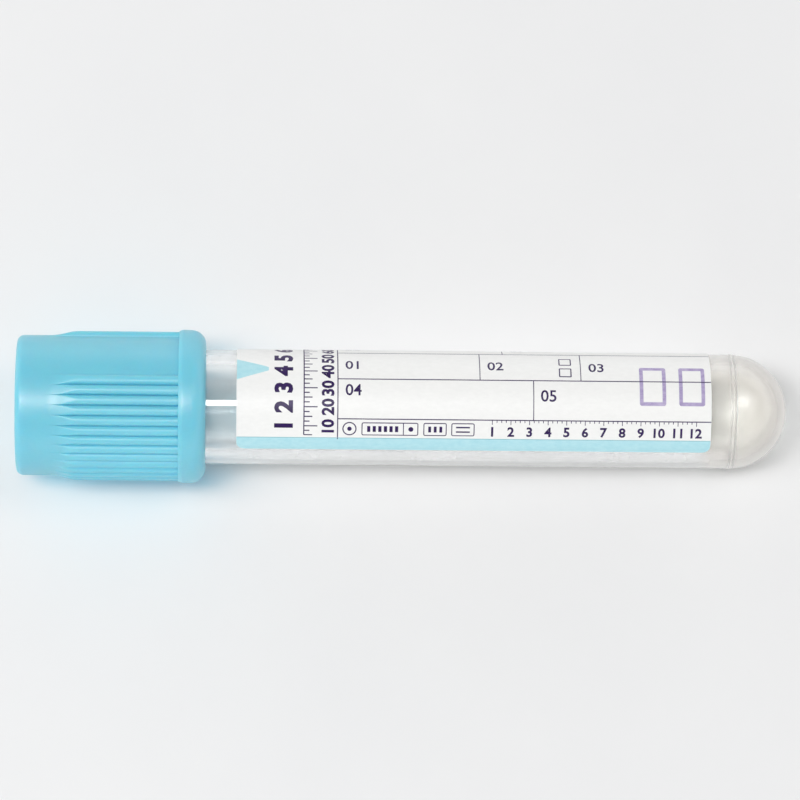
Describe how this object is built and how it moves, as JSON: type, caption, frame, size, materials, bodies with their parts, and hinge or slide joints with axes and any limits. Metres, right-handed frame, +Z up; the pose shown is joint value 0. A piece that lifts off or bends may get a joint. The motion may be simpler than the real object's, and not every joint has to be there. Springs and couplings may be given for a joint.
{
  "type": "blood collection tube",
  "caption": "Clear plastic blood collection tube with an inner liner tube, round bottom, wrap label and ribbed light-blue push-on closure over a rubber stopper, lying on its side.",
  "frame": {"origin": "middle of the part's box in X and Y, at the surface it lies on", "axes": "+X towards the round bottom, -X towards the closure, +Z up from the surface it lies on; the tube's own axis slopes down towards +X by 2.007 degrees, because the closure's collar is wider than the tube"},
  "size_m": [0.0832, 0.0166, 0.0167],
  "materials": {
    "clear_wall": "clear polished polyester",
    "milky_wall": "translucent natural polypropylene",
    "stopper_rubber": "satin blue-green rubber",
    "closure_plastic": "satin light-blue moulded plastic",
    "label_paper": "white coated paper, semi-gloss print",
    "clear_liquid": "clear water-like liquid"
  },
  "bodies": {
    "tube": {"outer_tube": "clear_wall", "inner_tube": "milky_wall", "label": "label_paper", "additive": "clear_liquid"},
    "closure": {"shield": "closure_plastic", "stopper": "stopper_rubber"}
  },
  "joints": [
    {"name": "closure_pull", "type": "slide", "parent": "tube", "child": "closure", "axis": [-0.9994, 0, 0.035], "range_m": [0, 0.03]}
  ]
}
